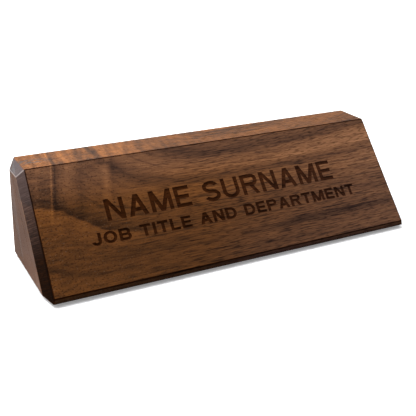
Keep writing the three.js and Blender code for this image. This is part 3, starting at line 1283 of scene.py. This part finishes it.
def make_film(name, node, material):
    board = merged_board(node)
    glued = [face for face in board.faces if face.normal.dot(INTO_WOOD) < -SQUARE_ON]
    corners = sorted({vert for face in glued for vert in face.verts}, key=lambda vert: vert.index)
    middle = sum((vert.co for vert in corners), Vector()) / len(corners)

    shape = bmesh.new()
    front, back = {}, {}
    for vert in corners:
        outward = vert.co - middle
        in_plane = outward - INTO_WOOD * outward.dot(INTO_WOOD)
        drawn_in = vert.co - in_plane * (1 - FILM_SHRINK)
        front[vert] = shape.verts.new(drawn_in - INTO_WOOD * (FILM_THICKNESS + FILM_CLEARANCE))
        back[vert] = shape.verts.new(drawn_in - INTO_WOOD * FILM_CLEARANCE)
    for face in glued:
        shape.faces.new([front[vert] for vert in face.verts])
        shape.faces.new([back[vert] for vert in reversed(face.verts)])
        for loop in face.loops:
            if sum(neighbour in glued for neighbour in loop.edge.link_faces) == 1:
                a, b = loop.vert, loop.link_loop_next.vert
                shape.faces.new([front[b], front[a], back[a], back[b]])
    board.free()
    piece = object_from(shape, name, [material])
    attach(piece, "root")


glue = glue_material()
make_film("front_glue_line", "middle_board", glue)
make_film("rear_glue_line", "rear_board", glue)
print("glue films", FILM_THICKNESS / MM, "mm thick")

# %% [markdown]
# ## Fluted dowels
#
# The dowels are hidden in the finished wedge, yet they are real pieces, with their flutes and
# chamfers in the frame already. They keep that shape and get bare beech: pale, straight-grained,
# with the short brown flecks that tell beech from birch.

# %% Beech for the dowels
BEECH_FIBRES = (60.0, 1400.0)
BEECH_FLECKS = (260.0, 1900.0)
BEECH_TONES = [(0.3, linear(186, 146, 104)), (0.7, linear(214, 178, 136))]
FLECK_COLOUR = linear(142, 96, 62)


def beech():
    """Its grain runs along a dowel, which is into the wood of the boards."""
    material, tree, shader = new_material("bare_beech")
    where = place_group(tree, board_directions)
    place = (where["Depth"], where["Along"], where["Rise"])
    grain = noise(tree, stretch(tree, *place, *BEECH_FIBRES), detail=3.0)
    flecks = noise(tree, stretch(tree, *place, *BEECH_FLECKS), detail=1.0)
    flecks = ramp(tree, flecks, [(0.60, 0.0), (0.68, 1.0)])
    flecks = times(tree, flecks, 0.6)
    paint(tree, shader, blended(tree, flecks, ramp(tree, grain, BEECH_TONES), FLECK_COLOUR))
    roughen(tree, shader, 0.55, grain, 0.2)
    bump(tree, shader, grain, 0.04 * MM, 0.5)
    return material


bare_beech = beech()
dowels = [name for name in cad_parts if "dowel" in name]
for name in dowels:
    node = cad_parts[name]
    node.data.materials.clear()
    node.data.materials.append(bare_beech)
print(len(dowels), "dowels in beech")

# %% [markdown]
# ## Felt pads
#
# Four small discs of pressed wool keep the wood off the desk. Felt is a mat of fibres: its rim
# is never quite round and its faces are never quite flat. Each disc is turned as a ring of
# points with a soft rim and then moved by seeded random amounts, far less than its thickness.

# %% Felt and the four pads
PAD_STEPS = 72
RIM_STEPS = 6
FUZZ = 0.06 * MM
SOFT_SHARE = 0.35
FELT_TONES = [(0.30, linear(28, 22, 19)), (0.70, linear(76, 62, 52))]


def felt():
    material, tree, shader = new_material("pressed_felt")
    place = add(tree, "ShaderNodeTexCoord").outputs["Object"]
    hairs = noise(tree, place, scale=2600.0, detail=4.0, roughness=0.7)
    clumps = noise(tree, place, scale=420.0, detail=2.0)
    both = plus(tree, times(tree, hairs, 0.6), times(tree, clumps, 0.4))
    paint(tree, shader, ramp(tree, both, FELT_TONES))
    roughen(tree, shader, 0.82, hairs, 0.15)
    shader.inputs["Sheen Weight"].default_value = 0.4
    bump(tree, shader, both, 0.25 * MM, 0.9)
    return material


def pad_profile(radius, height):
    """Radius and height of each ring of points, from under the middle round the rim to the top."""
    soft = SOFT_SHARE * height
    rings = [(radius * share, 0.0) for share in (0.25, 0.5, 0.75)]
    for side, base in ((-90, soft), (0, height - soft)):
        for i in range(RIM_STEPS):
            angle = math.radians(side + 90 * i / (RIM_STEPS - 1))
            rings.append((radius - soft + soft * math.cos(angle), base + soft * math.sin(angle)))
    return rings + [(radius * share, height) for share in (0.75, 0.5, 0.25)]


def make_pad(node, material, seed):
    low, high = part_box(node)
    draw = random.Random(seed)
    radius, height = (high.x - low.x) / 2, high.z - low.z
    centre = Vector(((low.x + high.x) / 2, (low.y + high.y) / 2, low.z))
    shape = bmesh.new()
    rings = []
    for ring_radius, ring_height in pad_profile(radius - 2 * FUZZ, height):
        ring_points = []
        for i in range(PAD_STEPS):
            angle = 2 * math.pi * i / PAD_STEPS
            reach = ring_radius + draw.uniform(-FUZZ, FUZZ)
            lift = min(max(ring_height + draw.uniform(-FUZZ, FUZZ), 0.0), height)
            offset = Vector((reach * math.cos(angle), reach * math.sin(angle), lift))
            ring_points.append(shape.verts.new(centre + offset))
        rings.append(ring_points)
    for inner, outer in zip(rings, rings[1:]):
        for i in range(PAD_STEPS):
            j = (i + 1) % PAD_STEPS
            shape.faces.new([inner[i], inner[j], outer[j], outer[i]])
    for ring_points, level in ((rings[0], 0.0), (rings[-1], height)):
        hub = shape.verts.new(centre + Vector((0, 0, level)))
        for i in range(PAD_STEPS):
            shape.faces.new([ring_points[i], ring_points[(i + 1) % PAD_STEPS], hub])
    bmesh.ops.recalc_face_normals(shape, faces=shape.faces)
    piece = object_from(shape, f"{node}_felt", [material])
    piece.data.shade_smooth()
    stand_for(piece, node)


pressed_felt = felt()
pads = sorted(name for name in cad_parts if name.startswith("pad_"))
for seed, name in enumerate(pads):
    make_pad(name, pressed_felt, seed)
print(len(pads), "felt pads,", PAD_STEPS, "points round each")

# %% [markdown]
# ## Floor
#
# The wedge stands on a plain sheet of paper, which is seen nearly white but throws back little
# light, as a small sheet in a dim room would. It also glows a little where it is seen, so that
# only a faint shadow is left along the base. A Light Path node tells the two apart: a ray from
# the camera finds the bright paper, and light on its way to the wood finds the dull one.

# %% Pale floor
FLOOR_SIZE = 6.0
PAPER_LIT = (0.54, 0.57)
PAPER_SEEN = (0.88, 0.91)
PAPER_GLOW = 0.25


def make_floor():
    shape = bmesh.new()
    bmesh.ops.create_grid(shape, x_segments=8, y_segments=8, size=FLOOR_SIZE / 2)
    material, tree, shader = new_material("pale_paper")
    place = add(tree, "ShaderNodeTexCoord").outputs["Object"]
    tooth = noise(tree, place, scale=900.0, detail=2.0)
    lit = ramp(tree, tooth, [(0.3, PAPER_LIT[0]), (0.7, PAPER_LIT[1])])
    seen = ramp(tree, tooth, [(0.3, PAPER_SEEN[0]), (0.7, PAPER_SEEN[1])])
    is_seen = add(tree, "ShaderNodeLightPath").outputs["Is Camera Ray"]
    paint(tree, shader, blended(tree, is_seen, lit, seen))
    tree.links.new(times(tree, is_seen, PAPER_GLOW), shader.inputs["Emission Strength"])
    shader.inputs["Emission Color"].default_value = (1.0, 1.0, 1.0, 1.0)
    shader.inputs["Roughness"].default_value = 0.9
    object_from(shape, "pale_floor", [material])


make_floor()
print("floor", FLOOR_SIZE, "m across")

# %% [markdown]
# ## Light
#
# The light is a large soft box above and behind, which makes the narrow top the brightest face
# and lets the sloping front fall a stop darker, with pale surroundings to fill the shadows. The
# world is brighter behind the wedge than in front of it, so the oiled front keeps its depth
# while the ends, seen at a low angle, pick up a grey sheen.

# %% World and soft box
BACK_LIGHT = (0.95, 0.97, 1.0, 1.0)
FRONT_LIGHT = (0.26, 0.26, 0.27, 1.0)
WORLD_STRENGTH = 0.95
SEEN_WORLD = (1.0, 1.0, 1.0, 1.0)


def light_world():
    world = bpy.data.worlds.new("studio")
    bpy.context.scene.world = world
    world.use_nodes = True
    tree = world.node_tree
    tree.nodes.clear()
    direction = add(tree, "ShaderNodeTexCoord").outputs["Generated"]
    towards = add(tree, "ShaderNodeSeparateXYZ", {0: direction}).outputs["Y"]
    behind = plus(tree, times(tree, towards, 0.5), 0.5)
    gradient = ramp(tree, behind, [(0.25, FRONT_LIGHT), (0.70, BACK_LIGHT)])
    values = {"Color": gradient, "Strength": WORLD_STRENGTH}
    lighting = add(tree, "ShaderNodeBackground", values).outputs[0]
    seen = add(tree, "ShaderNodeBackground", {"Color": SEEN_WORLD, "Strength": 1.0}).outputs[0]
    is_seen = add(tree, "ShaderNodeLightPath").outputs["Is Camera Ray"]
    mixed = add(tree, "ShaderNodeMixShader", {0: is_seen, 1: lighting, 2: seen}).outputs[0]
    output = tree.nodes.new("ShaderNodeOutputWorld")
    tree.links.new(mixed, output.inputs["Surface"])


def soft_box(name, place, target, width, height, power):
    light = bpy.data.lights.new(name, "AREA")
    light.shape, light.size, light.size_y, light.energy = "RECTANGLE", width, height, power
    lamp = bpy.data.objects.new(name, light)
    lamp.location = place
    lamp.rotation_mode = "QUATERNION"
    lamp.rotation_quaternion = (Vector(target) - Vector(place)).to_track_quat("-Z", "Y")
    bpy.context.scene.collection.objects.link(lamp)


light_world()
soft_box("overhead_box", place=(-0.20, 0.50, 1.1), target=(0, 0, 0.03), width=1.4, height=0.9, power=32.0)
bpy.context.scene.view_settings.view_transform = "Standard"
print("one overhead box and a graded world")
